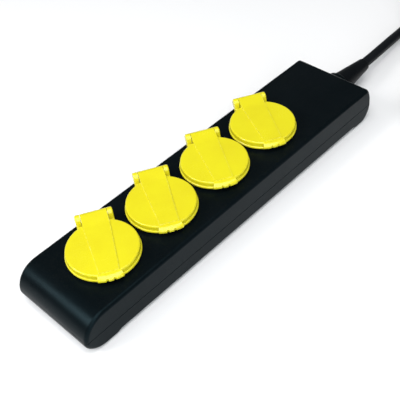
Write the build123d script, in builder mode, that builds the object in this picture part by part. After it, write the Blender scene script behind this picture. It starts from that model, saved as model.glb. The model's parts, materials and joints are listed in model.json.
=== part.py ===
"""Portable socket strip: four earthed outlets, each under a sprung yellow lid, on a rubber cord.

Frame: X runs along the strip towards the cord, Y across it (the lids' hinges are on the +Y side), Z up.
The strip stands on z = 0, and the origin is below the middle of its housing.  Millimetres.

Every outlet has its own frame, turned LID_TURN about Z: there X runs along the lid's hinge and the
two pin holes, and +Y points from the outlet's centre to the hinge.
"""
from build123d import *
from math import atan2, cos, pi, radians, sin, sqrt, tan
import os

os.makedirs("parts", exist_ok=True)

# ---------------------------------------------------------------- driving dimensions
# housing
HOUSING_LENGTH = 340.0
HALF_WIDTH = 39.0
TOP_Z = 34.2                 # top face
PARTING_Z = 16.0             # where the two shells meet; also the height of the cord's axis
UNDERSIDE_Z = 1.5            # the stand pads lift the rest of the underside by this much
NOSE_Z = 14.2                # height at which both ends reach furthest out
WALL = 2.5
FLOOR_Z = 3.5                # inner floor
EDGE_ROUND = 3.0
SPOUT_LENGTH = 5.0           # the cord spout stands out of the far end by this much
SPOUT_R = 13.0
NEAR_X = -(HOUSING_LENGTH + SPOUT_LENGTH) / 2
FAR_X = NEAR_X + HOUSING_LENGTH
SPOUT_X = FAR_X + SPOUT_LENGTH
NEAR_ROUND = 20.0            # radius of the near end's upper curve
NEAR_TOE = 18.0              # length of the near end's lower curve
FAR_SHOULDER = 8.0           # length of the far end's upper curve
FAR_TOE = 12.0               # length of the far end's lower curve
PAD_LENGTH = 8.0             # flat of each stand pad
PAD_BLEND = 7.0              # length over which a pad fades into the underside
SEAL_WIDTH = 1.0
SEAL_INSET = 0.8
REVEAL = 0.5                 # groove that marks the joint between the shells

# outlets
OUTLETS = 4
PITCH = 60.0
FIRST_X = NEAR_X + 55.0
LID_TURN = -30.0             # the lids' hinges are turned towards the cord
PLINTH_R = 26.8
PLINTH_Z = TOP_Z + 2.6
WELL_R = 19.75               # inside radius of the outlet's well
WELL_WALL = 2.55
RIM_Z = 39.6
WELL_FLOOR_Z = 22.6
WELL_FLOOR = 3.0
FLANGE_R = 26.0
FLANGE_Z = 29.4
FLANGE = 2.2
PIN_SPACING = 19.0
PIN_HOLE_R = 3.0
SHROUD_R = 4.8
SHROUD_Z = 16.5

# lids
RING_R = 28.4
RING_TOP = PLINTH_Z + 1.6
SPIGOT_R = 24.0
SPIGOT_IN_R = 22.75
LID_R = 27.6
LID_TOP = 42.6
LID_PLATE = 2.0
LID_WALL = 2.0
LID_RIM_ROUND = 1.3
ARM_RISE = 0.7               # how far the lid's arm stands above its disc
ARM_HALF_REAR = 10.2
ARM_HALF_FRONT = 7.3
ARM_FRONT = -25.2
TAB_R = 31.0
TAB_ARC = 36.0
TAB_BOTTOM = 38.9
HINGE_Y = 33.3               # hinge axis, in the outlet's frame
HINGE_Z = 41.5
BARREL_R = 3.8
EAR_GAP = 0.3
EAR_WIDTH = 4.1
PIN_R = 1.2
PIN_CLEARANCE = 0.05
SPRING_R = 2.25
SPRING_WIRE_R = 0.3
SPRING_TURNS = 6
SPRING_PITCH = 1.2

# conductors
BAR_THICK = 0.8
BAR_BOTTOM = 5.0
BAR_TOP = 12.0
LEAF_TOP = 15.8
LEAF_GAP = 5.1               # clear space between the two leaves that grip a pin
LEAF_HALF = 3.4
BAR_END_X = 96.0
TERMINAL = 6.0
CLIP_WIDTH = 6.0

# cord
CORD_R = 4.65
CORD_LENGTH = 1500.0         # from the spout to the plug's rear face
BOOT_LENGTH = 41.0
BOOT_ROOT_R = 10.3
BOOT_TIP_R = 6.0
BOOT_NECK_R = 8.0
COIL_CENTRE = (352.0, -40.0)
COIL_R = 54.7                # middle of the cord in the coil
COIL_TURNS = 3.5
COIL_LOW_Z = CORD_R + 0.3
COIL_PITCH = 2 * CORD_R + 0.4
COIL_TOP_Z = COIL_LOW_Z + int(COIL_TURNS) * COIL_PITCH
COIL_SLACK = 3.0             # the turns differ in size by up to this much
PLUG_R = 18.8
PLUG_FACE_X = 190.0
PLUG_LENGTH = 50.0
PLUG_Y = -83.5
PLUG_Z = 19.2


def save(piece, name):
    """Label a finished piece and write its STEP file."""
    piece.part.label = name
    export_step(piece.part, f"parts/{name}.step")


def outlet_frame(number):
    """The frame of one outlet, counted from 0 at the near end."""
    return Location((FIRST_X + PITCH * number, 0, 0), (0, 0, LID_TURN))


def save_at_outlets(piece, name):
    """Write one copy of a piece made in the outlet's frame for each outlet."""
    for number in range(OUTLETS):
        with BuildPart() as placed:
            with Locations(outlet_frame(number)):
                add(piece.part)
        save(placed, f"{name}_{number + 1}")


def outlet_centres():
    """Middle of every outlet in plan."""
    return [(FIRST_X + PITCH * number, 0) for number in range(OUTLETS)]


def pin_place(side):
    """A pin hole's place from its outlet's centre, turned into the strip's frame; side is -1 or 1."""
    reach = side * PIN_SPACING / 2
    return (reach * cos(radians(LID_TURN)), reach * sin(radians(LID_TURN)))


# ---------------------------------------------------------------- housing
def side_face(inset, floor, pads):
    """The housing seen from its side, shrunk by inset, with its underside at floor."""
    near, far, top = NEAR_X + inset, FAR_X - inset, TOP_Z - inset
    near_flat, far_flat = NEAR_X + NEAR_ROUND, FAR_X - FAR_SHOULDER
    near_toe, far_toe = NEAR_X + NEAR_TOE, FAR_X - FAR_TOE
    near_pad, far_pad = near_toe + PAD_LENGTH, far_toe - PAD_LENGTH
    half = PAD_BLEND / 2
    toe_drop = NOSE_Z - floor
    with BuildSketch(Plane.XZ) as face:
        with BuildLine():
            EllipticalCenterArc((near_flat, NOSE_Z), near_flat - near, top - NOSE_Z, 90, arc_size=90)
            Line((near_flat, top), (far_flat, top))
            EllipticalCenterArc((far_flat, NOSE_Z), far - far_flat, top - NOSE_Z, 0, arc_size=90)
            Bezier((far, NOSE_Z), (far, NOSE_Z - toe_drop * 0.44),
                   (far_toe + FAR_TOE * 0.48, floor), (far_toe, floor))
            EllipticalCenterArc((near_toe, NOSE_Z), near_toe - near, toe_drop, 180, arc_size=90)
            if pads:
                Line((far_toe, floor), (far_pad, floor))
                Bezier((far_pad, floor), (far_pad - half, floor),
                       (far_pad - half, UNDERSIDE_Z), (far_pad - PAD_BLEND, UNDERSIDE_Z))
                Line((far_pad - PAD_BLEND, UNDERSIDE_Z), (near_pad + PAD_BLEND, UNDERSIDE_Z))
                Bezier((near_pad + PAD_BLEND, UNDERSIDE_Z), (near_pad + half, UNDERSIDE_Z),
                       (near_pad + half, floor), (near_pad, floor))
                Line((near_pad, floor), (near_toe, floor))
            else:
                Line((far_toe, floor), (near_toe, floor))
        make_face()
    return face.sketch


with BuildPart() as shell:
    extrude(side_face(0, 0, pads=True), amount=HALF_WIDTH, both=True)
    side_faces = shell.faces().filter_by(Axis.Y).filter_by(lambda face: abs(face.center().Y) > HALF_WIDTH - 1)
    fillet(side_faces.edges(), radius=EDGE_ROUND)
    extrude(side_face(WALL, FLOOR_Z, pads=False), amount=HALF_WIDTH - WALL, both=True, mode=Mode.SUBTRACT)
    # the spout that the cord comes out of, with a groove inside that holds the boot's flange
    with BuildSketch(Plane.YZ.offset(SPOUT_X - 14.5)):
        with Locations((0, PARTING_Z)):
            Circle(SPOUT_R)
    extrude(amount=14.5)
    fillet(shell.faces().sort_by(Axis.X)[-1].edges(), radius=2.2)
    with BuildSketch(Plane.YZ.offset(SPOUT_X - 15)):
        with Locations((0, PARTING_Z)):
            Circle(BOOT_NECK_R + 0.1)
    extrude(amount=20, mode=Mode.SUBTRACT)
    with BuildSketch(Plane.YZ.offset(SPOUT_X - 10.5)):
        with Locations((0, PARTING_Z)):
            Circle(11.0)
    extrude(amount=4.0, mode=Mode.SUBTRACT)

SCREW_PLACES = [(x, side * y) for x, y in ((-148, 27), (-27.5, 30.5), (141, 27)) for side in (-1, 1)]

with BuildPart() as top_housing:
    add(shell.part)
    split(bisect_by=Plane.XY.offset(PARTING_Z), keep=Keep.TOP)
    with BuildSketch(Plane.XY.offset(TOP_Z - 0.5)):
        with Locations(*outlet_centres()):
            Circle(PLINTH_R)
    extrude(amount=PLINTH_Z - TOP_Z + 0.5)
    with BuildSketch(Plane.XY.offset(TOP_Z - 5)):
        with Locations(*outlet_centres()):
            Circle(SPIGOT_R + 0.1)
    extrude(amount=10, mode=Mode.SUBTRACT)
    with BuildSketch(Plane.XY.offset(PARTING_Z)):
        with Locations(*SCREW_PLACES):
            Circle(4)
    extrude(amount=TOP_Z - WALL / 2 - PARTING_Z)
    with BuildSketch(Plane.XY.offset(PARTING_Z)):
        with Locations(*SCREW_PLACES):
            Circle(1.5)
    extrude(amount=11, mode=Mode.SUBTRACT)
save(top_housing, "top_housing")

POST_X, POST_Y, POST_R = 14.1, 20.4, 1.9
FLANGE_POSTS = [(x + end * POST_X, side * POST_Y)
                for x, _ in outlet_centres() for end in (-1, 1) for side in (-1, 1)]
SEAL_LENGTH = HOUSING_LENGTH - 2 * SEAL_INSET
SEAL_MIDDLE = (NEAR_X + FAR_X) / 2

with BuildPart() as housing_seal:
    with BuildSketch(Plane.XY.offset(PARTING_Z - SEAL_WIDTH)):
        with Locations((SEAL_MIDDLE, 0)):
            RectangleRounded(SEAL_LENGTH, 2 * (HALF_WIDTH - SEAL_INSET), 3.0)
            RectangleRounded(SEAL_LENGTH - 2 * SEAL_WIDTH, 2 * (HALF_WIDTH - SEAL_INSET - SEAL_WIDTH), 2.0,
                             mode=Mode.SUBTRACT)
    extrude(amount=SEAL_WIDTH)
    # the gasket stops short of the spout, where the boot seals instead
    with BuildSketch(Plane.YZ.offset(SPOUT_X - 15)):
        with Locations((0, PARTING_Z)):
            Circle(SPOUT_R)
    extrude(amount=20, mode=Mode.SUBTRACT)
save(housing_seal, "housing_seal")

CLAMP_X = 146.0
CLAMP_LENGTH = 10.0
CLAMP_HALF = 13.0
CLAMP_SCREWS = [(CLAMP_X + CLAMP_LENGTH / 2, side * 9.0) for side in (-1, 1)]

with BuildPart() as bottom_housing:
    add(shell.part)
    split(bisect_by=Plane.XY.offset(PARTING_Z), keep=Keep.BOTTOM)
    add(housing_seal.part, mode=Mode.SUBTRACT)
    # reveal groove round the outside of the joint
    with BuildSketch(Plane.XY.offset(PARTING_Z - REVEAL)):
        with Locations((SEAL_MIDDLE, 0)):
            Rectangle(HOUSING_LENGTH, 2 * HALF_WIDTH + 2)
            RectangleRounded(HOUSING_LENGTH - 2 * REVEAL, 2 * (HALF_WIDTH - REVEAL), 3.0, mode=Mode.SUBTRACT)
    extrude(amount=REVEAL, mode=Mode.SUBTRACT)
    # screw bosses, the posts that carry the outlets' flanges, the bars' saddles and the cord's cradle
    with BuildSketch(Plane.XY.offset(UNDERSIDE_Z + 0.5)):
        with Locations(*SCREW_PLACES):
            Circle(5)
    extrude(amount=PARTING_Z - UNDERSIDE_Z - 0.5)
    with BuildSketch(Plane.XY.offset(UNDERSIDE_Z + 0.5)):
        with Locations(*FLANGE_POSTS):
            Circle(POST_R)
    extrude(amount=FLANGE_Z - UNDERSIDE_Z - 0.5)
    with BuildSketch(Plane.XY.offset(UNDERSIDE_Z + 0.5)):
        with Locations(*[(x + PITCH / 2, 0) for x, _ in outlet_centres()]):
            Rectangle(2.5, 26)
    extrude(amount=BAR_BOTTOM - UNDERSIDE_Z - 0.5)
    with BuildSketch(Plane.XY.offset(UNDERSIDE_Z + 0.5)):
        with Locations((CLAMP_X + CLAMP_LENGTH / 2, 0)):
            Rectangle(CLAMP_LENGTH, 2 * CLAMP_HALF)
    extrude(amount=PARTING_Z - 0.3 - UNDERSIDE_Z - 0.5)
    with BuildSketch(Plane.YZ.offset(CLAMP_X - 5)):
        with Locations((0, PARTING_Z)):
            Circle(CORD_R)
    extrude(amount=20, mode=Mode.SUBTRACT)
    with BuildSketch(Plane.XY.offset(PARTING_Z - 9)):
        with Locations(*CLAMP_SCREWS):
            Circle(1.3)
    extrude(amount=9, mode=Mode.SUBTRACT)
    # clearance hole and counterbore of each housing screw
    with Locations(*[(x, y, 0) for x, y in SCREW_PLACES]):
        Cylinder(1.9, 40, mode=Mode.SUBTRACT)
        Cylinder(3.4, 2 * 5.0, mode=Mode.SUBTRACT)
save(bottom_housing, "bottom_housing")

with BuildPart() as housing_screws:
    for x, y in SCREW_PLACES:
        with BuildSketch(Plane((x, y, 2.8))):
            Circle(3.1)
        extrude(amount=2.2)
        with BuildSketch(Plane((x, y, 5.0))):
            Circle(1.5)
        extrude(amount=20)
        with BuildSketch(Plane((x, y, 2.8))):
            Rectangle(3.6, 0.8)
            Rectangle(0.8, 3.6)
        extrude(amount=1.2, mode=Mode.SUBTRACT)
save(housing_screws, "housing_screws")

# ---------------------------------------------------------------- outlets
RIB_R = 17.6                 # the two guide ribs stand in to this radius
CLIP_OUT_R = 21.3            # depth of the recesses for the earth clips

with BuildPart() as socket_insert:
    outer = WELL_R + WELL_WALL
    with BuildSketch(Plane.XZ):
        with BuildLine():
            Polyline((0, WELL_FLOOR_Z - WELL_FLOOR), (outer, WELL_FLOOR_Z - WELL_FLOOR), (outer, FLANGE_Z),
                     (FLANGE_R, FLANGE_Z), (FLANGE_R, FLANGE_Z + FLANGE), (outer, FLANGE_Z + FLANGE),
                     (outer, RIM_Z - 0.6), (outer - 0.6, RIM_Z), (WELL_R + 0.5, RIM_Z), (WELL_R, RIM_Z - 0.5),
                     (WELL_R, WELL_FLOOR_Z), (0, WELL_FLOOR_Z), close=True)
        make_face()
    revolve(axis=Axis.Z)
    # guide ribs beside the pin holes
    with BuildSketch(Plane.XY.offset(WELL_FLOOR_Z - 0.5)):
        Circle(WELL_R + 0.5)
        Circle(RIB_R, mode=Mode.SUBTRACT)
        Rectangle(60, 4.4, mode=Mode.INTERSECT)
    extrude(amount=RIM_Z - 1.2 - WELL_FLOOR_Z + 0.5)
    # shrouds under the floor, then the pin holes through both
    with BuildSketch(Plane.XY.offset(SHROUD_Z)):
        with Locations((-PIN_SPACING / 2, 0), (PIN_SPACING / 2, 0)):
            Circle(SHROUD_R)
    extrude(amount=WELL_FLOOR_Z - WELL_FLOOR - SHROUD_Z + 0.5)
    with BuildSketch(Plane.XY.offset(SHROUD_Z)):
        with Locations((-PIN_SPACING / 2, 0), (PIN_SPACING / 2, 0)):
            Circle(PIN_HOLE_R)
    extrude(amount=WELL_FLOOR_Z - SHROUD_Z, mode=Mode.SUBTRACT)
    # slots that the earth clips come up through, and their recesses in the wall
    with BuildSketch(Plane.XY.offset(WELL_FLOOR_Z - WELL_FLOOR)):
        Circle(CLIP_OUT_R)
        Circle(16.8, mode=Mode.SUBTRACT)
        Rectangle(CLIP_WIDTH + 0.8, 60, mode=Mode.INTERSECT)
    extrude(amount=18.4, mode=Mode.SUBTRACT)
save_at_outlets(socket_insert, "socket_insert")

# ---------------------------------------------------------------- lid frames, lids and hinges
EAR_IN = ARM_HALF_REAR + EAR_GAP
EAR_OUT = EAR_IN + EAR_WIDTH

with BuildPart() as ear:
    with BuildSketch(Plane.YZ.offset(EAR_IN)):
        with BuildLine():
            CenterArc((HINGE_Y, HINGE_Z), BARREL_R, 0, 360)
            Polyline((PLINTH_R + 0.5, TOP_Z + 0.1), (HINGE_Y - 0.6, TOP_Z + 0.1))
        make_hull()
    extrude(amount=EAR_WIDTH)
    ear_rim = ear.faces().sort_by(Axis.X)[-1].edges().filter_by(lambda edge: edge.center().Z > TOP_Z + 0.5)
    fillet(ear_rim, radius=1.2)

with BuildPart() as lid_frame:
    with BuildSketch(Plane.XZ):
        with BuildLine():
            Polyline((SPIGOT_IN_R, FLANGE_Z + FLANGE + 0.2), (SPIGOT_R, FLANGE_Z + FLANGE + 0.2),
                     (SPIGOT_R, PLINTH_Z), (RING_R, PLINTH_Z), (RING_R, RING_TOP - 0.5),
                     (RING_R - 0.5, RING_TOP), (SPIGOT_IN_R, RING_TOP), close=True)
        make_face()
    revolve(axis=Axis.Z)
    # hinge ears, with a tongue from the ring to each and a low bridge between them under the barrel
    add(ear.part)
    add(mirror(ear.part, about=Plane.YZ, mode=Mode.PRIVATE))
    tongue_middle = (EAR_IN + EAR_OUT) / 2
    with BuildSketch(Plane.XY.offset(PLINTH_Z)):
        with Locations((-tongue_middle, 27.5), (tongue_middle, 27.5)):
            Rectangle(EAR_WIDTH - 0.4, 6)
    extrude(amount=RING_TOP - PLINTH_Z)
    with BuildSketch(Plane.XY.offset(TOP_Z + 0.1)):
        with Locations((0, (PLINTH_R + 0.5 + HINGE_Y - 0.8) / 2)):
            Rectangle(2 * EAR_OUT - 1.0, HINGE_Y - 0.8 - PLINTH_R - 0.5)
    extrude(amount=2.4)
    with BuildSketch(Plane.YZ.offset(-EAR_OUT + 1.2)):
        with Locations((HINGE_Y, HINGE_Z)):
            Circle(PIN_R)
    extrude(amount=2 * EAR_OUT, mode=Mode.SUBTRACT)
save_at_outlets(lid_frame, "lid_frame")

with BuildPart() as hinge_pin:
    with BuildSketch(Plane.YZ.offset(-EAR_OUT + 1.4)):
        with Locations((HINGE_Y, HINGE_Z)):
            Circle(PIN_R)
    extrude(amount=2 * EAR_OUT - 2.2)
save_at_outlets(hinge_pin, "hinge_pin")

ARM_TOP = LID_TOP + ARM_RISE
RAMP_Y = 21.0                # where the arm starts to rise to the hinge barrel

with BuildPart() as lid:
    with BuildSketch(Plane.XZ):
        with BuildLine():
            Polyline((0, LID_TOP), (LID_R - LID_RIM_ROUND, LID_TOP))
            CenterArc((LID_R - LID_RIM_ROUND, LID_TOP - LID_RIM_ROUND), LID_RIM_ROUND, 0, 90)
            Polyline((LID_R, LID_TOP - LID_RIM_ROUND), (LID_R, RING_TOP + 0.3), (LID_R - LID_WALL, RING_TOP + 0.3),
                     (LID_R - LID_WALL, LID_TOP - LID_PLATE), (0, LID_TOP - LID_PLATE), (0, LID_TOP))
        make_face()
    revolve(axis=Axis.Z)
    # lift tab: a lip that curves down from the disc, with two finger notches
    for sweep_angle in (TAB_ARC / 2, -TAB_ARC / 2):
        with BuildSketch(Plane.YZ):
            with BuildLine():
                Polyline((-TAB_R, TAB_BOTTOM), (LID_R * -0.95, TAB_BOTTOM), (LID_R * -0.9, LID_TOP),
                         (-LID_R + 0.8, LID_TOP))
                Bezier((-LID_R + 0.8, LID_TOP), (-LID_R - 1.2, LID_TOP), (-TAB_R, LID_TOP - 1.4),
                       (-TAB_R, TAB_BOTTOM + 0.9))
                Line((-TAB_R, TAB_BOTTOM + 0.9), (-TAB_R, TAB_BOTTOM))
            make_face()
        revolve(axis=Axis.Z, revolution_arc=sweep_angle)
    with BuildSketch(Plane.XY.offset(TAB_BOTTOM - 1)):
        with PolarLocations(TAB_R + 0.2, 2, start_angle=-95.0, angular_range=10, endpoint=True):
            Circle(1.0)
    extrude(amount=5, mode=Mode.SUBTRACT)
    # raised arm, level over the disc and rising to the barrel
    with BuildSketch(Plane.YZ):
        with Locations((HINGE_Y, HINGE_Z)):
            Circle(BARREL_R)
        with BuildLine():
            reach, drop = HINGE_Y - RAMP_Y, HINGE_Z - ARM_TOP
            slope = atan2(drop, reach) + atan2(BARREL_R, sqrt(reach ** 2 + drop ** 2 - BARREL_R ** 2))
            Polyline((ARM_FRONT, LID_TOP - 1), (ARM_FRONT, ARM_TOP), (RAMP_Y, ARM_TOP),
                     (HINGE_Y - BARREL_R * sin(slope), HINGE_Z + BARREL_R * cos(slope)),
                     (HINGE_Y, HINGE_Z), (HINGE_Y - BARREL_R, HINGE_Z - 0.9), (LID_R - 1.5, HINGE_Z - 0.9),
                     (LID_R - 1.5, LID_TOP - 1), close=True)
        make_face()
    extrude(amount=ARM_HALF_REAR, both=True)
    # the arm narrows towards the front
    with BuildSketch(Plane.XY.offset(LID_TOP)):
        for side in (-1, 1):
            with BuildLine():
                Polyline((side * ARM_HALF_REAR, 24), (side * ARM_HALF_FRONT, ARM_FRONT),
                         (side * ARM_HALF_FRONT, ARM_FRONT - 1), (side * (ARM_HALF_REAR + 1), ARM_FRONT - 1),
                         (side * (ARM_HALF_REAR + 1), 24), close=True)
            make_face()
    extrude(amount=ARM_RISE + 1, mode=Mode.SUBTRACT)
    # bore for the pin, and the pocket that holds the spring
    with BuildSketch(Plane.YZ.offset(-ARM_HALF_REAR)):
        with Locations((HINGE_Y, HINGE_Z)):
            Circle(PIN_R + PIN_CLEARANCE)
    extrude(amount=2 * ARM_HALF_REAR, mode=Mode.SUBTRACT)
    with BuildSketch(Plane.YZ.offset(-5)):
        with Locations((HINGE_Y, HINGE_Z)):
            Circle(2.9)
        with Locations((HINGE_Y, HINGE_Z - 2.5)):
            Rectangle(2 * 2.9, 5.0)
        with Locations((HINGE_Y - 2.9, HINGE_Z - 2.5)):
            Rectangle(3.4, 2.6)
    extrude(amount=10, mode=Mode.SUBTRACT)
save_at_outlets(lid, "lid")

with BuildPart() as lid_seal:
    with BuildSketch(Plane.XY.offset(RIM_Z + 0.3)):
        Circle(23.6)
        Circle(20.2, mode=Mode.SUBTRACT)
    extrude(amount=LID_TOP - LID_PLATE - RIM_Z - 0.3)
save_at_outlets(lid_seal, "lid_seal")

with BuildPart() as lid_spring:
    coil_half = SPRING_TURNS * SPRING_PITCH / 2
    with BuildLine() as coil_line:
        Helix(SPRING_PITCH, 2 * coil_half, SPRING_R, center=(-coil_half, HINGE_Y, HINGE_Z), direction=(1, 0, 0))
    with BuildSketch(Plane(coil_line.line @ 0, z_dir=coil_line.line % 0)):
        Circle(SPRING_WIRE_R)
    sweep(path=coil_line.line, is_frenet=True)
save_at_outlets(lid_spring, "lid_spring")


# ---------------------------------------------------------------- conductors
def bus_bar(name, side):
    """Brass bar on one side of the outlets, with a fork for one pin of each outlet."""
    pin_x, pin_y = pin_place(-side)
    outside = pin_y + side * (LEAF_GAP / 2 + BAR_THICK / 2)
    inside = pin_y - side * (LEAF_GAP / 2 + BAR_THICK / 2)
    first = FIRST_X + pin_x - LEAF_HALF
    with BuildPart() as bar:
        with BuildSketch(Plane.XY.offset(BAR_BOTTOM)):
            with Locations(((first + BAR_END_X) / 2, outside)):
                Rectangle(BAR_END_X - first, BAR_THICK)
            with Locations((BAR_END_X + TERMINAL / 2, outside)):
                Rectangle(TERMINAL, TERMINAL - 1)
        extrude(amount=BAR_TOP - BAR_BOTTOM)
        with BuildSketch(Plane.XY.offset(BAR_BOTTOM)):
            for x, _ in outlet_centres():
                with Locations((x + pin_x, outside), (x + pin_x, inside)):
                    Rectangle(2 * LEAF_HALF, BAR_THICK)
                with Locations((x + pin_x + LEAF_HALF + BAR_THICK / 2, pin_y)):
                    Rectangle(BAR_THICK, LEAF_GAP + 2 * BAR_THICK)
        extrude(amount=LEAF_TOP - BAR_BOTTOM)
    save(bar, name)
    return (BAR_END_X + TERMINAL, outside, (BAR_BOTTOM + BAR_TOP) / 2)


live_terminal = bus_bar("live_bar", 1)
neutral_terminal = bus_bar("neutral_bar", -1)

STRAP_Z = WELL_FLOOR_Z - WELL_FLOOR - BAR_THICK
EARTH_Y = 13.2

with BuildPart() as earth_clips:
    with BuildSketch(Plane.YZ):
        for side in (-1, 1):
            with BuildLine():
                outside = side * (CLIP_OUT_R - 0.3)
                Polyline((0, STRAP_Z), (outside, STRAP_Z), (outside, 30), (outside - side * 2.0, 34), (outside, 38),
                         (outside - side * BAR_THICK, 38), (outside - side * (2.0 + BAR_THICK), 34),
                         (outside - side * BAR_THICK, 30), (outside - side * BAR_THICK, STRAP_Z + BAR_THICK),
                         (0, STRAP_Z + BAR_THICK), close=True)
            make_face()
    extrude(amount=CLIP_WIDTH / 2, both=True)

with BuildPart() as earth_bar:
    for number in range(OUTLETS):
        with Locations(outlet_frame(number)):
            add(earth_clips.part)
    with BuildSketch(Plane.XY.offset(STRAP_Z - BAR_THICK)):
        with Locations(((FIRST_X + BAR_END_X) / 2, EARTH_Y)):
            Rectangle(BAR_END_X - FIRST_X, 4.5)
    extrude(amount=BAR_THICK + 0.2)
    with BuildSketch(Plane.XY.offset(STRAP_Z - BAR_THICK)):
        with Locations((BAR_END_X + TERMINAL / 2, EARTH_Y)):
            Rectangle(TERMINAL, TERMINAL)
    extrude(amount=TERMINAL - 1)
save(earth_bar, "earth_bar")
earth_terminal = (BAR_END_X + TERMINAL, EARTH_Y, STRAP_Z - BAR_THICK + (TERMINAL - 1) / 2)

# ---------------------------------------------------------------- cord inside the housing
SHEATH_END_X = 143.0
CORE_R = 1.4

with BuildPart() as cable_end:
    with BuildSketch(Plane.YZ.offset(SHEATH_END_X)):
        with Locations((0, PARTING_Z)):
            Circle(CORD_R)
    extrude(amount=SPOUT_X - SHEATH_END_X)
save(cable_end, "cable_end")

with BuildPart() as cable_clamp:
    with BuildSketch(Plane.XY.offset(PARTING_Z + 0.3)):
        with Locations((CLAMP_X + CLAMP_LENGTH / 2, 0)):
            RectangleRounded(CLAMP_LENGTH, 2 * CLAMP_HALF, 1.5)
    extrude(amount=7)
    with BuildSketch(Plane.YZ.offset(CLAMP_X - 1)):
        with Locations((0, PARTING_Z)):
            Circle(CORD_R)
    extrude(amount=CLAMP_LENGTH + 2, mode=Mode.SUBTRACT)
    with Locations(*[(x, y, PARTING_Z) for x, y in CLAMP_SCREWS]):
        Cylinder(1.6, 20, mode=Mode.SUBTRACT)
save(cable_clamp, "cable_clamp")

with BuildPart() as clamp_screws:
    for x, y in CLAMP_SCREWS:
        with BuildSketch(Plane((x, y, PARTING_Z + 7.3))):
            Circle(2.6)
        extrude(amount=1.8)
        with BuildSketch(Plane((x, y, PARTING_Z - 8))):
            Circle(1.3)
        extrude(amount=15.3)
save(clamp_screws, "clamp_screws")


def core_wire(name, start, terminal):
    """An insulated core from the end of the sheath to its bar's terminal."""
    end = Vector(*terminal)
    route = [start, start - Vector(10, 0, 0), end + Vector(11, 0, 0), end]
    with BuildPart() as wire:
        with BuildLine() as path:
            FilletPolyline(*route, radius=6)
        with BuildSketch(Plane(start, z_dir=(-1, 0, 0))):
            Circle(CORE_R)
        sweep(path=path.line)
    save(wire, name)


CORE_PLACES = {"live": (1.7, -1.0), "neutral": (-1.7, -1.0), "earth": (0.0, 2.0)}
TERMINALS = {"live": live_terminal, "neutral": neutral_terminal, "earth": earth_terminal}
for core, (across, up) in CORE_PLACES.items():
    core_wire(f"{core}_wire", Vector(SHEATH_END_X, across, PARTING_Z + up), TERMINALS[core])

# ---------------------------------------------------------------- boot and cord outside the housing
with BuildPart() as strain_relief:
    with BuildSketch(Plane.XZ):
        with BuildLine():
            Polyline((SPOUT_X - 14, PARTING_Z + CORD_R), (SPOUT_X - 14, PARTING_Z + BOOT_NECK_R),
                     (SPOUT_X - 10.3, PARTING_Z + BOOT_NECK_R), (SPOUT_X - 10.3, PARTING_Z + 10.7),
                     (SPOUT_X - 6.7, PARTING_Z + 10.7), (SPOUT_X - 6.7, PARTING_Z + BOOT_NECK_R),
                     (SPOUT_X, PARTING_Z + BOOT_NECK_R), (SPOUT_X, PARTING_Z + BOOT_ROOT_R),
                     (SPOUT_X + 2, PARTING_Z + BOOT_ROOT_R),
                     (SPOUT_X + BOOT_LENGTH - 0.8, PARTING_Z + BOOT_TIP_R),
                     (SPOUT_X + BOOT_LENGTH, PARTING_Z + BOOT_TIP_R - 0.8),
                     (SPOUT_X + BOOT_LENGTH, PARTING_Z + CORD_R), close=True)
        make_face()
    revolve(axis=Axis((0, 0, PARTING_Z), (1, 0, 0)))
save(strain_relief, "strain_relief")


def cord_route_radii(route):
    """The arc at each corner: 0.45 of the shorter run over the tangent of half the turn."""
    radii = []
    for before, corner, after in zip(route, route[1:], route[2:]):
        arrive, leave = corner - before, after - corner
        shorter = min(arrive.length, leave.length)
        radii.append(0.45 * shorter / tan(radians(arrive.get_angle(leave)) / 2))
    return radii


def cord_tube(name, points):
    """A tube along straight runs joined by tangent arcs; returns the length of its route."""
    route = [Vector(*point) for point in points]
    radii = cord_route_radii(route)
    with BuildPart() as tube:
        with BuildLine() as path:
            FilletPolyline(*route, radius=radii)
        with BuildSketch(Plane(route[0], z_dir=route[1] - route[0])):
            Circle(CORD_R)
        sweep(path=path.line)
    length = sum(edge.length for edge in path.edges())
    save(tube, name)
    print(name, "length", round(length, 1), "volume ratio",
          round(tube.part.volume / (pi * CORD_R ** 2 * length), 4), "radii", [round(radius) for radius in radii])
    return length


CORD_ROUTE = [(SPOUT_X, 0, PARTING_Z), (222, 0.2, 16.2), (264, 3.2, 14.2), (308, 10.8, 6.4),
              (COIL_CENTRE[0], COIL_CENTRE[1] + COIL_R, COIL_LOW_Z)]
PLUG_ROUTE = [(COIL_CENTRE[0], COIL_CENTRE[1] - COIL_R, COIL_TOP_Z), (324, -94.8, 32.6), (294, -91.6, 25.2),
              (265, -84.5, 19.8), (PLUG_FACE_X + PLUG_LENGTH - 2, PLUG_Y, PLUG_Z)]
free_length = cord_tube("power_cord", CORD_ROUTE) + cord_tube("plug_lead", PLUG_ROUTE)
coiled_length = 2 * pi * COIL_R * COIL_TURNS
print("cord length", round(free_length + coiled_length, 1), "wanted", CORD_LENGTH)

with BuildPart() as cord_coil:
    coil_height = COIL_TOP_Z + CORD_R
    with BuildSketch(Plane((COIL_CENTRE[0], COIL_CENTRE[1], 0.1))):
        Circle(COIL_R + CORD_R + COIL_SLACK)
        Circle(COIL_R - CORD_R - COIL_SLACK, mode=Mode.SUBTRACT)
    extrude(amount=coil_height - 0.1)
    fillet(cord_coil.edges().filter_by(GeomType.CIRCLE), radius=3)
save(cord_coil, "cord_coil")

# ---------------------------------------------------------------- plug
PLUG_AXIS = Axis((0, PLUG_Y, PLUG_Z), (1, 0, 0))
PLUG_PIN_R = 2.4
PLUG_PIN_LENGTH = 19.0
SHANK_R = 2.0                # the pins' shanks, inside the plug
SHANK_LENGTH = 17.0
STRIP_WIDTH = 6.0
FLAT_R = 17.4                # the plug is cut flat here for its earth strips

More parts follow.
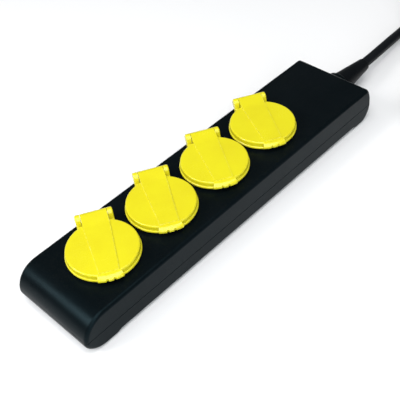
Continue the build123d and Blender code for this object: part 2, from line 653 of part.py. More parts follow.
with BuildPart() as plug_body:
    with BuildSketch(Plane.XZ.offset(-PLUG_Y)):
        with BuildLine():
            Polyline((PLUG_FACE_X, PLUG_Z), (PLUG_FACE_X, PLUG_Z + PLUG_R - 0.8), (PLUG_FACE_X + 0.8, PLUG_Z + PLUG_R),
                     (PLUG_FACE_X + 17, PLUG_Z + PLUG_R))
            Bezier((PLUG_FACE_X + 17, PLUG_Z + PLUG_R), (PLUG_FACE_X + 30, PLUG_Z + PLUG_R),
                   (PLUG_FACE_X + 28, PLUG_Z + 9.5), (PLUG_FACE_X + 39, PLUG_Z + 8.2))
            Polyline((PLUG_FACE_X + 39, PLUG_Z + 8.2), (PLUG_FACE_X + PLUG_LENGTH - 1, PLUG_Z + 6.6),
                     (PLUG_FACE_X + PLUG_LENGTH, PLUG_Z + 5.6), (PLUG_FACE_X + PLUG_LENGTH, PLUG_Z),
                     (PLUG_FACE_X, PLUG_Z))
        make_face()
    revolve(axis=PLUG_AXIS)
    face = Plane((PLUG_FACE_X, PLUG_Y, PLUG_Z), x_dir=(0, 1, 0), z_dir=(1, 0, 0))
    # flats for the earth strips, guide grooves at the sides, and the hole for an earth pin
    with BuildSketch(face):
        with Locations((0, FLAT_R + 2), (0, -FLAT_R - 2)):
            Rectangle(STRIP_WIDTH + 2, 4)
        with Locations((PLUG_R, 0), (-PLUG_R, 0)):
            Rectangle(5, 5)
    extrude(amount=17, mode=Mode.SUBTRACT)
    with BuildSketch(face):
        with Locations((0, 10)):
            Circle(2.5)
        with Locations((-PIN_SPACING / 2, 0), (PIN_SPACING / 2, 0)):
            Circle(SHANK_R)
    extrude(amount=SHANK_LENGTH, mode=Mode.SUBTRACT)
save(plug_body, "plug_body")

with BuildPart() as plug_pins:
    with BuildSketch(face.offset(-PLUG_PIN_LENGTH)):
        with Locations((-PIN_SPACING / 2, 0), (PIN_SPACING / 2, 0)):
            Circle(PLUG_PIN_R)
    extrude(amount=PLUG_PIN_LENGTH)
    pin_tips = plug_pins.edges().filter_by(lambda edge: edge.center().X < PLUG_FACE_X - PLUG_PIN_LENGTH + 0.1)
    fillet(pin_tips, radius=1.6)
    with BuildSketch(face):
        with Locations((-PIN_SPACING / 2, 0), (PIN_SPACING / 2, 0)):
            Circle(SHANK_R)
    extrude(amount=SHANK_LENGTH)
save(plug_pins, "plug_pins")

with BuildPart() as plug_earth_strips:
    with BuildSketch(face.offset(1.5)):
        with Locations((0, FLAT_R + 0.4), (0, -FLAT_R - 0.4)):
            Rectangle(STRIP_WIDTH, 0.8)
    extrude(amount=15)
save(plug_earth_strips, "plug_earth_strips")
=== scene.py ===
# %% [markdown]
# # Dressing a four-way outdoor socket strip
# The strip is a long black housing with four earthed outlets. Each outlet hides under a sprung
# yellow lid, and a thick rubber cord leaves one end. The engineering model gives every part its
# true size and place. It arrives as loose triangles with no finish, so this lesson puts the
# camera in place, lays the cord, builds the plastics, rubbers and metals, and then makes a
# finer-looking piece out of each part that shows.

# %% Load the fixed frame
import json
import math
import bpy
from mathutils import Matrix, Vector


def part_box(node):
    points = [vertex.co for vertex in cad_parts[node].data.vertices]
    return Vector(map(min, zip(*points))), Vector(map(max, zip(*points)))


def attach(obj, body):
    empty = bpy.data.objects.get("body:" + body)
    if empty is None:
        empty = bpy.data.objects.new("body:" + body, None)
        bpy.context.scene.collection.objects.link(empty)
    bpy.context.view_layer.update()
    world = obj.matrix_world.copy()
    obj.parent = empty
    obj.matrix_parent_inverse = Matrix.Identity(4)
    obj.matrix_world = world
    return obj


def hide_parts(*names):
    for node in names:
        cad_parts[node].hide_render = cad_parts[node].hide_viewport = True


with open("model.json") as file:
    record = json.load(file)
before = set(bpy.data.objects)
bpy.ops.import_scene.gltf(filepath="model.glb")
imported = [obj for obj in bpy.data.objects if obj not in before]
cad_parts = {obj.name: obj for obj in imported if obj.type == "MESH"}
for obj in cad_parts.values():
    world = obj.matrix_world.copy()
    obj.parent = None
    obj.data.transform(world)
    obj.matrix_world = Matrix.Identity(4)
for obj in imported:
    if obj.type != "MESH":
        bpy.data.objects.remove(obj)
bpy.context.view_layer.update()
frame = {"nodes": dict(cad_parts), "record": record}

MM = 0.001

# %% [markdown]
# ## Camera
# The strip is seen from above one corner, by a camera that leans a little to one side. A camera
# could be aimed with a Track To constraint, but that leaves no lean. So its three axes are worked
# out from azimuth, elevation and roll, and written straight into its matrix.

# %% Camera
AZIMUTH, ELEVATION, ROLL = (math.radians(a) for a in (-42.441, 45.027, -6.02))
CAMERA_PLACE = Vector((-306.485, -316.030, 440.110)) * MM
LENS_MM = 66.75

back = Vector((math.sin(AZIMUTH) * math.cos(ELEVATION), -math.cos(AZIMUTH) * math.cos(ELEVATION),
               math.sin(ELEVATION)))
level_right = Vector((math.cos(AZIMUTH), math.sin(AZIMUTH), 0))
level_up = back.cross(level_right)
right = level_right * math.cos(ROLL) + level_up * math.sin(ROLL)
up = level_up * math.cos(ROLL) - level_right * math.sin(ROLL)

scene = bpy.context.scene
camera = bpy.data.objects.new("camera", bpy.data.cameras.new("camera"))
scene.collection.objects.link(camera)
camera.data.sensor_width = 36
camera.data.lens = LENS_MM
camera.data.clip_start, camera.data.clip_end = 0.02, 20
camera.matrix_world = Matrix.Translation(CAMERA_PLACE) @ Matrix((right, up, back)).transposed().to_4x4()
scene.camera = camera
print("camera stands", round(CAMERA_PLACE.length, 3), "m from the origin")

# %% [markdown]
# ## Cord
# The cord is 1.5 m of stiff rubber flex, 9.3 mm thick. It leaves the boot straight, sinks to the
# table in a long easy curve, winds three and a half turns into a storage coil and comes back to
# its plug. A real coil lies flat for most of each turn and climbs onto the turn below in one
# place. The whole cord is one NURBS curve of order 3: it rounds every corner by itself, as a
# springy cord does. A point's radius multiplies the curve's bevel depth. Blender also grows the
# curve's box by that radius, so the true radius goes on the points and the depth is 1.

# %% Route of the cord
CORD_RADIUS = 4.65 * MM
COIL_CENTRE = Vector((352.0, -40.0, 0)) * MM
COIL_RADIUS = 54.7 * MM
COIL_TURNS = 3.5
COIL_LOW = CORD_RADIUS + 0.3 * MM
COIL_PITCH = 2 * CORD_RADIUS + 0.4 * MM
TURN_WOBBLE = 1.1 * MM                     # how much the turns differ in radius
POINTS_PER_TURN = 16
CLIMB_START, CLIMB_SHARE = 0.60, 0.32      # part of each turn where it climbs to the next layer

way_out = [Vector(p) * MM for p in ((172.5, 0, 16), (222, 0.2, 16.2), (264, 3.2, 14.2),
                                    (298, 9.0, 7.0), (324, 13.2, 4.95))]
way_to_plug = [Vector(p) * MM for p in ((324, -94.8, 32.6), (294, -91.6, 25.2), (265, -84.5, 19.8),
                                        (238, -83.5, 19.2))]


def coil_height(turn):
    """Height of the cord's middle after so many turns: flat, then a smooth climb."""
    whole, part = divmod(turn, 1)
    climb = min(max((part - CLIMB_START) / CLIMB_SHARE, 0), 1)
    return COIL_LOW + COIL_PITCH * (whole + climb * climb * (3 - 2 * climb))


def coil_point(turn):
    """A control point of the coil. Turns differ a little in size, as hand-wound ones do."""
    angle = math.pi / 2 - 2 * math.pi * turn
    rounding = 0.75 + 0.25 * math.cos(2 * math.pi / POINTS_PER_TURN)   # a NURBS cuts inside its points
    radius = COIL_RADIUS / rounding + TURN_WOBBLE * math.sin(1.7 * turn * math.pi + 0.4)
    return COIL_CENTRE + Vector((radius * math.cos(angle), radius * math.sin(angle), coil_height(turn)))


coil = [coil_point(step / POINTS_PER_TURN) for step in range(int(COIL_TURNS * POINTS_PER_TURN) + 1)]
route = way_out + coil + way_to_plug
coil_top = max(point.z for point in coil)
print("route has", len(route), "control points, coil tops out at", round(coil_top / MM, 1), "mm")

# %% Cord as one NURBS curve
cord_curve = bpy.data.curves.new("mains_cord", "CURVE")
cord_curve.dimensions = "3D"
spline = cord_curve.splines.new("NURBS")
spline.points.add(len(route) - 1)
for point, place in zip(spline.points, route):
    point.co = (*place, 1)
    point.radius = CORD_RADIUS
spline.order_u = 3
spline.use_endpoint_u = True
spline.resolution_u = 8
cord_curve.bevel_depth = 1
cord_curve.bevel_resolution = 7
cord_curve.use_fill_caps = True
cord = bpy.data.objects.new("mains_cord", cord_curve)
scene.collection.objects.link(cord)
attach(cord, "housing")
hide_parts("power_cord", "cord_coil", "plug_lead")
print("cord is", round(2 * CORD_RADIUS / MM, 1), "mm thick")

# %% [markdown]
# ## Shader node groups
# A moulded part is never one flat colour. Four effects come back on many of its finishes: fine
# spark-eroded grain, a slow drift of shade from the way the plastic flowed, lighter edges, and dust
# that settles on faces that look up. The lighter edges are worn spots on the black parts and a
# painted highlight along the rims of the yellow lids and frames. Each effect is a node group with
# named sockets, so a material only has to place it and give it values.

# %% Helpers for node trees
def add_node(tree, kind, **settings):
    """A node with its properties and its unlinked inputs set by name."""
    node = tree.nodes.new(kind)
    for name, value in settings.items():
        if hasattr(node, name):
            setattr(node, name, value)
        else:
            node.inputs[name.replace("_", " ")].default_value = value
    node.location = (len(tree.nodes) % 7 * 220 - 900, -(len(tree.nodes) // 7) * 260)
    return node


def new_group(name, inputs, outputs):
    """An empty node group with float, vector or colour sockets."""
    group = bpy.data.node_groups.new(name, "ShaderNodeTree")
    for socket, (kind, value) in inputs.items():
        made = group.interface.new_socket(socket, in_out="INPUT", socket_type=f"NodeSocket{kind}")
        if value is not None:
            made.default_value = value
    for socket, kind in outputs.items():
        group.interface.new_socket(socket, in_out="OUTPUT", socket_type=f"NodeSocket{kind}")
    return group, group.nodes.new("NodeGroupInput"), group.nodes.new("NodeGroupOutput")


def noise(tree, vector, scale, detail=3.0, roughness=0.55):
    """A noise texture read from a vector socket, at a scale that is a number or a socket."""
    node = add_node(tree, "ShaderNodeTexNoise", Detail=detail, Roughness=roughness)
    tree.links.new(vector, node.inputs["Vector"])
    if isinstance(scale, (int, float)):
        node.inputs["Scale"].default_value = scale
    else:
        tree.links.new(scale, node.inputs["Scale"])
    return node.outputs["Fac"]


def remap(tree, value, from_low, from_high, to_low=0.0, to_high=1.0):
    """A Map Range node; each limit is a number or a socket."""
    node = tree.nodes.new("ShaderNodeMapRange")
    tree.links.new(value, node.inputs["Value"])
    limits = {"From Min": from_low, "From Max": from_high, "To Min": to_low, "To Max": to_high}
    for name, limit in limits.items():
        if isinstance(limit, (int, float)):
            node.inputs[name].default_value = limit
        else:
            tree.links.new(limit, node.inputs[name])
    return node.outputs["Result"]


def maths(tree, operation, first, second):
    """A Math node on two values, each a number or a socket."""
    node = tree.nodes.new("ShaderNodeMath")
    node.operation = operation
    for slot_number, value in enumerate((first, second)):
        if isinstance(value, (int, float)):
            node.inputs[slot_number].default_value = value
        else:
            tree.links.new(value, node.inputs[slot_number])
    return node.outputs["Value"]


# %% Group: moulded grain
grain_group, grain_in, grain_out = new_group(
    "moulded_grain",
    {"Vector": ("Vector", None), "Grain Scale": ("Float", 3000.0),
     "Roughness Low": ("Float", 0.35), "Roughness High": ("Float", 0.5)},
    {"Roughness": "Float", "Height": "Float"})
fine = noise(grain_group, grain_in.outputs["Vector"], grain_in.outputs["Grain Scale"], detail=2.0)
patches = noise(grain_group, grain_in.outputs["Vector"], 38.0, detail=4.0)
sheen = maths(grain_group, "ADD", maths(grain_group, "MULTIPLY", fine, 0.4),
              maths(grain_group, "MULTIPLY", patches, 0.6))
grain_group.links.new(remap(grain_group, sheen, 0.35, 0.65, grain_in.outputs["Roughness Low"],
                            grain_in.outputs["Roughness High"]), grain_out.inputs["Roughness"])
grain_group.links.new(fine, grain_out.inputs["Height"])
print("group", grain_group.name, "has", len(grain_group.nodes), "nodes")

# %% Group: drift of shade
drift_group, drift_in, drift_out = new_group(
    "shade_drift",
    {"Vector": ("Vector", None), "Colour": ("Color", (0.5, 0.5, 0.5, 1)),
     "Other Colour": ("Color", (0.4, 0.4, 0.4, 1)), "Scale": ("Float", 22.0)},
    {"Colour": "Color"})
flow = noise(drift_group, drift_in.outputs["Vector"], drift_in.outputs["Scale"], detail=5.0, roughness=0.6)
drift_mix = add_node(drift_group, "ShaderNodeMix", data_type="RGBA")
drift_group.links.new(remap(drift_group, flow, 0.36, 0.64), drift_mix.inputs[0])
drift_group.links.new(drift_in.outputs["Colour"], drift_mix.inputs[6])
drift_group.links.new(drift_in.outputs["Other Colour"], drift_mix.inputs[7])
drift_group.links.new(drift_mix.outputs[2], drift_out.inputs["Colour"])
print("group", drift_group.name, "has", len(drift_group.nodes), "nodes")

# %% Group: worn edges and painted edge highlight
# A Bevel node looks round each point. Where its normal differs from the surface's own, an edge is
# near. The mask lightens such edges in patchy noise: worn spots on the black parts, a painted
# highlight along the rims of the yellow lids and frames.
wear_and_highlight_group, wear_and_highlight_in, wear_and_highlight_out = new_group(
    "edge_wear_and_highlight",
    {"Vector": ("Vector", None), "Reach": ("Float", 0.0006), "Strength": ("Float", 0.6)},
    {"Mask": "Float"})
rounded = add_node(wear_and_highlight_group, "ShaderNodeBevel", samples=4)
wear_and_highlight_group.links.new(wear_and_highlight_in.outputs["Reach"], rounded.inputs["Radius"])
surface = wear_and_highlight_group.nodes.new("ShaderNodeNewGeometry")
likeness = wear_and_highlight_group.nodes.new("ShaderNodeVectorMath")
likeness.operation = "DOT_PRODUCT"
wear_and_highlight_group.links.new(rounded.outputs["Normal"], likeness.inputs[0])
wear_and_highlight_group.links.new(surface.outputs["Normal"], likeness.inputs[1])
edges = remap(wear_and_highlight_group, likeness.outputs["Value"], 0.995, 0.80)
scuff_and_glint_patches = remap(wear_and_highlight_group, noise(wear_and_highlight_group, wear_and_highlight_in.outputs["Vector"], 420.0, detail=6.0, roughness=0.7),
               0.42, 0.66)
wear_and_highlight_group.links.new(maths(wear_and_highlight_group, "MULTIPLY", maths(wear_and_highlight_group, "MULTIPLY", edges, scuff_and_glint_patches),
                           wear_and_highlight_in.outputs["Strength"]), wear_and_highlight_out.inputs["Mask"])
print("group", wear_and_highlight_group.name, "has", len(wear_and_highlight_group.nodes), "nodes")

# %% Group: settled dust
dust_group, dust_in, dust_out = new_group(
    "settled_dust",
    {"Vector": ("Vector", None), "Amount": ("Float", 0.03)},
    {"Mask": "Float"})
facing = dust_group.nodes.new("ShaderNodeNewGeometry")
split = dust_group.nodes.new("ShaderNodeSeparateXYZ")
dust_group.links.new(facing.outputs["Normal"], split.inputs["Vector"])
upward = remap(dust_group, split.outputs["Z"], 0.35, 0.95)
specks = remap(dust_group, noise(dust_group, dust_in.outputs["Vector"], 900.0, detail=5.0, roughness=0.75),
               0.50, 0.72)
drifts = remap(dust_group, noise(dust_group, dust_in.outputs["Vector"], 26.0, detail=4.0),
               0.35, 0.70, 0.2, 1.0)
lying = maths(dust_group, "MULTIPLY", upward, dust_in.outputs["Amount"])
dust_group.links.new(maths(dust_group, "MULTIPLY", lying, maths(dust_group, "MULTIPLY", specks, drifts)),
                     dust_out.inputs["Mask"])
print("group", dust_group.name, "has", len(dust_group.nodes), "nodes")

# %% [markdown]
# ## Finishes
# Every plastic and rubber of the strip is the same chain with other values: drift of shade, then
# dust and lighter edges over it, with grain in the roughness and in a bump. The lighter edges are
# worn spots on the black parts and a painted highlight on the yellow lids and frames. A function
# builds the chain, so the lid's lemon plastic and the shell's satin black differ only in the numbers
# a moulder would talk about. Metals leave out the dust and get a drawn or stamped grain instead.

# %% Plastic and rubber
def moulded(name, colour, other, rough, grain=3000.0, bump=0.02 * MM, drift_scale=22.0,
            wear_and_highlight_colour=None, wear_and_highlight_strength=0.5, wear_and_highlight_reach=0.6 * MM,
            dust=0.03, dust_colour=(0.42, 0.40, 0.36), specular=0.5, tint=(1, 1, 1)):
    """A moulded finish: two shades that drift into each other, grain, dust, and lighter edges for worn
    spots and painted highlight.
    """
    material = bpy.data.materials.new(name)
    material.use_nodes = True
    tree = material.node_tree
    shader = tree.nodes["Principled BSDF"]
    shader.inputs["Specular IOR Level"].default_value = specular
    shader.inputs["Specular Tint"].default_value = (*tint, 1)
    where = tree.nodes.new("ShaderNodeTexCoord").outputs["Object"]

    def place(group, **values):
        node = add_node(tree, "ShaderNodeGroup", node_tree=group)
        tree.links.new(where, node.inputs["Vector"])
        for socket, value in values.items():
            node.inputs[socket.replace("_", " ")].default_value = value
        return node

    def blend(mask, base, top):
        mix = add_node(tree, "ShaderNodeMix", data_type="RGBA")
        tree.links.new(mask, mix.inputs[0])
        tree.links.new(base, mix.inputs[6])
        mix.inputs[7].default_value = (*top, 1)
        return mix.outputs[2]

    drift = place(drift_group, Colour=(*colour, 1), Other_Colour=(*other, 1), Scale=drift_scale)
    shade = drift.outputs["Colour"]
    # Pale edges: worn spots on the black parts, a painted highlight along the rims of the yellow ones.
    if wear_and_highlight_colour:
        worn_and_highlit_edges = place(wear_and_highlight_group, Strength=wear_and_highlight_strength, Reach=wear_and_highlight_reach)
        shade = blend(worn_and_highlit_edges.outputs["Mask"], shade, wear_and_highlight_colour)
    if dust:
        shade = blend(place(dust_group, Amount=dust).outputs["Mask"], shade, dust_colour)
    tree.links.new(shade, shader.inputs["Base Color"])
    texture = place(grain_group, Grain_Scale=grain, Roughness_Low=rough[0], Roughness_High=rough[1])
    tree.links.new(texture.outputs["Roughness"], shader.inputs["Roughness"])
    relief = add_node(tree, "ShaderNodeBump", Strength=1.0, Distance=bump)
    tree.links.new(texture.outputs["Height"], relief.inputs["Height"])
    tree.links.new(relief.outputs["Normal"], shader.inputs["Normal"])
    return material


finishes = {
    "black_shell": moulded(
        "satin_black_shell", (0.0014, 0.0028, 0.0036), (0.0022, 0.0038, 0.0048), (0.27, 0.36),
        grain=2600, bump=0.010 * MM, wear_and_highlight_colour=(0.03, 0.036, 0.042), wear_and_highlight_strength=0.35,
        dust=0.02, specular=0.09, tint=(0.45, 0.85, 1.0)),
    "outlet_black": moulded(
        "outlet_black", (0.0045, 0.0045, 0.0050), (0.0070, 0.0070, 0.0075), (0.30, 0.42),
        bump=0.01 * MM, wear_and_highlight_colour=(0.05, 0.05, 0.05), wear_and_highlight_strength=0.3),
    # The pale edge colour of the yellow lid and frame is a painted highlight along their rims.
    "yellow_lid": moulded(
        "lemon_yellow_lid", (0.68, 0.615, 0.010), (0.65, 0.570, 0.009), (0.20, 0.30),
        grain=2200, bump=0.006 * MM, drift_scale=30.0,
        wear_and_highlight_colour=(0.86, 0.84, 0.22), wear_and_highlight_strength=0.7, wear_and_highlight_reach=1.0 * MM,
        dust=0.05, dust_colour=(0.75, 0.68, 0.28)),
    "yellow_frame": moulded(
        "lemon_yellow_frame", (0.71, 0.64, 0.012), (0.68, 0.595, 0.010), (0.22, 0.32),
        grain=2200, bump=0.006 * MM, drift_scale=34.0,
        wear_and_highlight_colour=(0.88, 0.86, 0.24), wear_and_highlight_strength=0.7, wear_and_highlight_reach=1.0 * MM,
        dust=0.06, dust_colour=(0.70, 0.62, 0.30)),
    "soft_rubber": moulded(
        "soft_black_rubber", (0.012, 0.012, 0.013), (0.018, 0.018, 0.019), (0.60, 0.75),
        grain=1800, dust=0.05),
    "clamp_grey": moulded("clamp_grey_plastic", (0.20, 0.21, 0.22), (0.24, 0.25, 0.26), (0.40, 0.50)),
    "core_brown": moulded(
        "brown_core", (0.10, 0.030, 0.012), (0.13, 0.042, 0.018), (0.32, 0.42), dust=0),
    "core_blue": moulded(
        "blue_core", (0.012, 0.045, 0.22), (0.018, 0.060, 0.28), (0.32, 0.42), dust=0),
    "core_green": moulded(
        "green_core", (0.03, 0.18, 0.03), (0.50, 0.46, 0.03), (0.32, 0.42), dust=0, drift_scale=90.0),
    "cord_rubber": moulded(
        "rubber_cord", (0.0030, 0.0042, 0.0056), (0.0050, 0.0062, 0.0078), (0.42, 0.54),
        grain=1500, bump=0.03 * MM, drift_scale=60.0, specular=0.14),
    "boot_rubber": moulded(
        "rubber_boot", (0.0016, 0.0026, 0.0036), (0.0028, 0.0038, 0.0050), (0.40, 0.52),
        grain=2000, drift_scale=40.0, wear_and_highlight_colour=(0.03, 0.034, 0.038), wear_and_highlight_strength=0.3,
        dust=0.02, specular=0.12),
}
print(len(finishes), "moulded finishes")

# %% Metals
def metal(name, colour, other, rough, stretch=(1.0, 1.0, 1.0), grain=1600.0, bump=0.01 * MM):
    """A metal finish: stretched grain stands for drawing, rolling or turning marks."""
    material = bpy.data.materials.new(name)
    material.use_nodes = True
    tree = material.node_tree
    shader = tree.nodes["Principled BSDF"]
    shader.inputs["Metallic"].default_value = 1.0
    where = tree.nodes.new("ShaderNodeTexCoord").outputs["Object"]
    stretched = add_node(tree, "ShaderNodeMapping", Scale=stretch)
    tree.links.new(where, stretched.inputs["Vector"])
    tarnish = add_node(tree, "ShaderNodeGroup", node_tree=drift_group,
                       Colour=(*colour, 1), Other_Colour=(*other, 1), Scale=140.0)
    marks = add_node(tree, "ShaderNodeGroup", node_tree=grain_group,
                     Grain_Scale=grain, Roughness_Low=rough[0], Roughness_High=rough[1])
    tree.links.new(where, tarnish.inputs["Vector"])
    tree.links.new(stretched.outputs["Vector"], marks.inputs["Vector"])
    tree.links.new(tarnish.outputs["Colour"], shader.inputs["Base Color"])
    tree.links.new(marks.outputs["Roughness"], shader.inputs["Roughness"])
    relief = add_node(tree, "ShaderNodeBump", Strength=1.0, Distance=bump)
    tree.links.new(marks.outputs["Height"], relief.inputs["Height"])
    tree.links.new(relief.outputs["Normal"], shader.inputs["Normal"])
    return material


finishes["steel"] = metal("zinc_plated_steel", (0.58, 0.58, 0.57), (0.46, 0.47, 0.48), (0.25, 0.40))
finishes["spring_steel"] = metal("spring_steel", (0.42, 0.41, 0.40), (0.30, 0.30, 0.30), (0.25, 0.38))
finishes["brass"] = metal("rolled_brass", (0.78, 0.56, 0.24), (0.62, 0.42, 0.17), (0.22, 0.38),
                          stretch=(0.1, 1.0, 1.0))
finishes["nickel"] = metal("nickel_plate", (0.68, 0.66, 0.62), (0.58, 0.56, 0.52), (0.14, 0.26),
                           stretch=(0.15, 1.0, 1.0))
print(len(finishes), "finishes in all:", ", ".join(sorted(finishes)))

# %% [markdown]
# ## Finer pieces
# The loaded parts have the right shape, but their triangles aren't joined, so light falls on each
# one flatly. A copy of a part can be merged, its flat faces cleaned up, its hard edges given the
# tiny radius that every mould leaves, and then shaded smooth. The loaded part itself stays as it
# is, hidden, and the copy stands for it.

# %% Helper that makes a finer copy of a part
slot_of = {part["node"]: part["material_slot"] for part in frame["record"]["subparts"]}
body_of = {node: body for body, nodes in frame["record"]["behaviour"]["bodies"].items() for node in nodes}


def choose(piece):
    """Select one piece alone and make it active."""
    bpy.ops.object.select_all(action="DESELECT")
    piece.select_set(True)
    bpy.context.view_layer.objects.active = piece


def apply_modifiers(piece):
    choose(piece)
    for modifier in list(piece.modifiers):
        bpy.ops.object.modifier_apply(modifier=modifier.name)


def finish_edges(piece, edge_radius, smooth_angle=38, segments=2, edge_angle=32):
    """Small radius on hard edges, smooth shading, and normals weighted to the big faces."""
    choose(piece)
    if edge_radius:
        bevel = piece.modifiers.new("edge_radius", "BEVEL")
        bevel.width, bevel.segments = edge_radius, segments
        bevel.limit_method, bevel.angle_limit = "ANGLE", math.radians(edge_angle)
        bevel.use_clamp_overlap = True
        apply_modifiers(piece)
    bpy.ops.object.shade_smooth_by_angle(angle=math.radians(smooth_angle))
    weighted = piece.modifiers.new("weighted_normals", "WEIGHTED_NORMAL")
    weighted.keep_sharp = True
    weighted.weight = 60
    apply_modifiers(piece)


def finer_copy(node, edge_radius=0.0, **edges):
    """A merged, tidied and smooth-shaded piece that stands for one CAD part."""
    piece = bpy.data.objects.new(f"{node}_piece", frame["nodes"][node].data.copy())
    scene.collection.objects.link(piece)
    choose(piece)
    if piece.data.has_custom_normals:
        bpy.ops.mesh.customdata_custom_splitnormals_clear()
    bpy.ops.object.mode_set(mode="EDIT")
    bpy.ops.mesh.select_all(action="SELECT")
    bpy.ops.mesh.remove_doubles(threshold=0.002 * MM)
    bpy.ops.mesh.dissolve_limited(angle_limit=math.radians(0.2))
    bpy.ops.object.mode_set(mode="OBJECT")
    finish_edges(piece, edge_radius, **edges)
    dress(piece, slot_of[node], body_of[node])
    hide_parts(node)
    return piece


def dress(piece, slot, body):
    """Give a piece its finish and let it ride on its body."""
    piece.data.materials.clear()
    piece.data.materials.append(finishes[slot])
    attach(piece, body)


# %% Dress the parts that stay as they are
for name, node in frame["nodes"].items():
    for material_slot in node.material_slots:
        material_slot.link = "OBJECT"
        material_slot.material = finishes[slot_of[name]]
cord_curve.materials.append(finishes["cord_rubber"])
print("dressed", len(frame["nodes"]), "parts")

# %% [markdown]
# ## Housing
# Two black shells meet at a thin dark groove at the height of the cord. Their edges have small
# radii, because a sharp mould corner would chip. The copy gets those radii from a bevel on edges
# that turn by more than a set angle.

# %% Housing shells and screws
top_shell = finer_copy("top_housing", 0.25 * MM)
bottom_shell = finer_copy("bottom_housing", 0.2 * MM)
finer_copy("housing_screws", 0.12 * MM)
print("top shell has", len(top_shell.data.polygons), "faces, bottom shell", len(bottom_shell.data.polygons))

# %% [markdown]
# ## Outlets and lids
# Each lid is a round cap with a raised arm that runs back to a hinge barrel, and a lip with two
# finger notches at the front. It sits on a thin yellow ring, whose two ears hold the hinge pin
# and its spring. All four outlets are alike, so one loop makes them, each copy with its own mesh.

# %% Outlets, lid frames and lids
for number in (1, 2, 3, 4):
    finer_copy(f"socket_insert_{number}", 0.15 * MM)
    finer_copy(f"lid_frame_{number}", 0.2 * MM)
    finer_copy(f"hinge_pin_{number}", 0.15 * MM)
    finer_copy(f"lid_spring_{number}")
    finer_copy(f"lid_{number}", 0.2 * MM)
    finer_copy(f"lid_seal_{number}", 0.3 * MM)
finer_copy("earth_bar", 0.08 * MM)

# %% [markdown]
# ## Boot and plug
# The boot is a tapered rubber sleeve that keeps the cord from kinking where it leaves the housing.
# The plug is moulded onto the other end of the cord. Behind its shoulder a moulded plug has a few
# ribs, for grip and so that it bends a little. One rib starts as a short cylinder, its rims are
# rounded with a bevel, and smaller copies follow it down the taper.

# %% Boot, plug and pins
finer_copy("strain_relief", 0.25 * MM)
plug = finer_copy("plug_body", 0.3 * MM)
pins = finer_copy("plug_pins")
strips = finer_copy("plug_earth_strips", 0.1 * MM)

# %% Grip ribs behind the plug
RIB_COUNT = 3
RIB_LENGTH = 2.0 * MM
RIB_STEP = 3.3 * MM                        # from one rib to the next
RIB_RADIUS, RIB_TAPER = 8.9 * MM, 0.5 * MM
RIB_ROUND = 0.7 * MM
FIRST_RIB = 10.2 * MM                      # from the plug's cord end
plug_low, plug_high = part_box("plug_body")
plug_axis = (plug_low + plug_high) / 2
for number in range(RIB_COUNT):
    bpy.ops.object.select_all(action="DESELECT")
    bpy.ops.mesh.primitive_cylinder_add(
        vertices=48, radius=RIB_RADIUS - RIB_TAPER * number, depth=RIB_LENGTH,
        rotation=(0, math.radians(90), 0),
        location=(plug_high.x - FIRST_RIB + RIB_STEP * number, plug_axis.y, plug_axis.z))
    rib = bpy.context.active_object
    rib.name = f"plug_rib_{number + 1}"
    bpy.ops.object.transform_apply(location=True, rotation=True, scale=True)
    bpy.ops.object.mode_set(mode="EDIT")
    bpy.ops.mesh.select_all(action="SELECT")
    bpy.ops.mesh.bevel(offset=RIB_ROUND, segments=4, affect="EDGES")
    bpy.ops.object.mode_set(mode="OBJECT")
    finish_edges(rib, 0, smooth_angle=60)
    dress(rib, "boot_rubber", "housing")

# %% [markdown]
# ## Coil tie
# A hook-and-loop strap holds the stored coil together. It starts as a box round the four turns
# that lie on each other, loses its two open sides, gets round corners from a bevel and its
# thickness from Solidify. Under the coil the strap is pressed flat against the table.

# %% Strap round the coil
TIE_WIDTH = 12 * MM
TIE_THICKNESS = 0.9 * MM
TIE_CORNER = 4.4 * MM
LAYERS_ABOVE = 3                           # layers of cord on the lowest one, where the strap is
bundle_x = COIL_CENTRE.x + COIL_RADIUS
bundle_half = CORD_RADIUS + 1.3 * MM
bundle_top = COIL_LOW + LAYERS_ABOVE * COIL_PITCH + CORD_RADIUS + 0.15 * MM
bundle_low = Vector((bundle_x - bundle_half, COIL_CENTRE.y - TIE_WIDTH / 2, 0.25 * MM))
bundle_high = Vector((bundle_x + bundle_half, COIL_CENTRE.y + TIE_WIDTH / 2, bundle_top))
bpy.ops.object.select_all(action="DESELECT")
bpy.ops.mesh.primitive_cube_add(size=1, location=(bundle_low + bundle_high) / 2)
tie = bpy.context.active_object
tie.name = "coil_tie"
tie.scale = bundle_high - bundle_low
bpy.ops.object.transform_apply(location=True, rotation=True, scale=True)


def pick(piece, faces=None, edges=None):
    """Select the faces or edges of a piece that pass a test, ready for an edit-mode operator."""
    choose(piece)
    bpy.ops.object.mode_set(mode="EDIT")
    bpy.ops.mesh.select_all(action="DESELECT")
    bpy.ops.mesh.select_mode(type="FACE" if faces else "EDGE")
    bpy.ops.object.mode_set(mode="OBJECT")
    for element in piece.data.polygons if faces else piece.data.edges:
        element.select = bool((faces or edges)(element))
    bpy.ops.object.mode_set(mode="EDIT")


def runs_along_y(edge):
    start, end = (tie.data.vertices[v].co for v in edge.vertices)
    return abs((end - start).normalized().y) > 0.9


pick(tie, faces=lambda face: abs(face.normal.y) > 0.9)
bpy.ops.mesh.delete(type="ONLY_FACE")
bpy.ops.object.mode_set(mode="OBJECT")
pick(tie, edges=runs_along_y)
bpy.ops.mesh.bevel(offset=TIE_CORNER, segments=8, affect="EDGES")
bpy.ops.object.mode_set(mode="OBJECT")
thickness = tie.modifiers.new("strap_thickness", "SOLIDIFY")
thickness.thickness, thickness.offset = TIE_THICKNESS, 1
apply_modifiers(tie)
for vertex in tie.data.vertices:
    vertex.co.z = max(vertex.co.z, 0.04 * MM)      # pressed flat, just clear of the table
finish_edges(tie, 0.15 * MM, smooth_angle=45)
dress(tie, "soft_rubber", "housing")
print("strap is", round(TIE_WIDTH / MM), "mm wide and", round(tie.dimensions.z / MM, 1), "mm high")

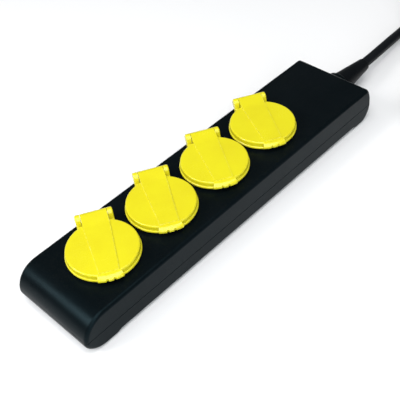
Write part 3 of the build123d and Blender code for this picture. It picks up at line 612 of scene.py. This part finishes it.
# %% Loose end of the strap
TAIL_LENGTH = 15 * MM
TAIL_HEIGHT = 20 * MM                      # of its middle above the table
TAIL_CORNER = 5.0 * MM
tail_place = (bundle_high.x + 1.25 * TIE_THICKNESS, COIL_CENTRE.y, TAIL_HEIGHT)
bpy.ops.object.select_all(action="DESELECT")
bpy.ops.mesh.primitive_cube_add(size=1, location=tail_place)
tail = bpy.context.active_object
tail.name = "coil_tie_end"
tail.scale = (TIE_THICKNESS / 2, TIE_WIDTH * 0.98, TAIL_LENGTH)
bpy.ops.object.transform_apply(location=True, rotation=True, scale=True)


def is_lower_corner(edge):
    start, end = (tail.data.vertices[v].co for v in edge.vertices)
    return abs((end - start).normalized().x) > 0.9 and start.z < TAIL_HEIGHT


pick(tail, edges=is_lower_corner)
bpy.ops.mesh.bevel(offset=TAIL_CORNER, segments=8, affect="EDGES")
bpy.ops.object.mode_set(mode="OBJECT")
finish_edges(tail, 0.12 * MM, smooth_angle=45)
dress(tail, "soft_rubber", "housing")

# %% [markdown]
# ## Floor and light
# A plain pale floor, one wide soft light overhead, a cooler low fill from the camera's side, a
# smaller one from the left and an even pale surround. Wide lights give the soft, nearly shadowless
# look of a product table.

# %% Floor
bpy.ops.object.select_all(action="DESELECT")
bpy.ops.mesh.primitive_plane_add(size=8, location=(0, 0, 0))
floor = bpy.context.active_object
floor.name = "floor"
floor_finish = bpy.data.materials.new("pale_floor")
floor_finish.use_nodes = True
floor_shader = floor_finish.node_tree.nodes["Principled BSDF"]
floor_shader.inputs["Base Color"].default_value = (0.86, 0.86, 0.86, 1)
floor_shader.inputs["Roughness"].default_value = 0.8
floor.data.materials.append(floor_finish)

# %% Lights
def soft_light(name, place, target, size, watts, colour=(1, 1, 1)):
    """A square area light that faces a target."""
    light = bpy.data.lights.new(name, "AREA")
    light.size, light.energy, light.color = size, watts, colour
    lamp = bpy.data.objects.new(name, light)
    scene.collection.objects.link(lamp)
    lamp.location = place
    lamp.rotation_euler = (Vector(place) - Vector(target)).to_track_quat("Z", "Y").to_euler()


soft_light("overhead", (-0.35, -0.35, 1.5), (0, 0, 0), 1.5, 27)
soft_light("camera_side", (-0.9, -1.3, 0.8), (0, 0, 0.02), 1.2, 14, (0.86, 0.93, 1.0))
soft_light("left_key", (-1.05, 0.60, 0.95), (0, 0, 0.03), 0.5, 11)
world = bpy.data.worlds.new("surround")
scene.world = world
world.use_nodes = True
world.node_tree.nodes["Background"].inputs["Color"].default_value = (0.95, 0.97, 1.0, 1)
world.node_tree.nodes["Background"].inputs["Strength"].default_value = 0.15
scene.view_settings.view_transform = "Standard"
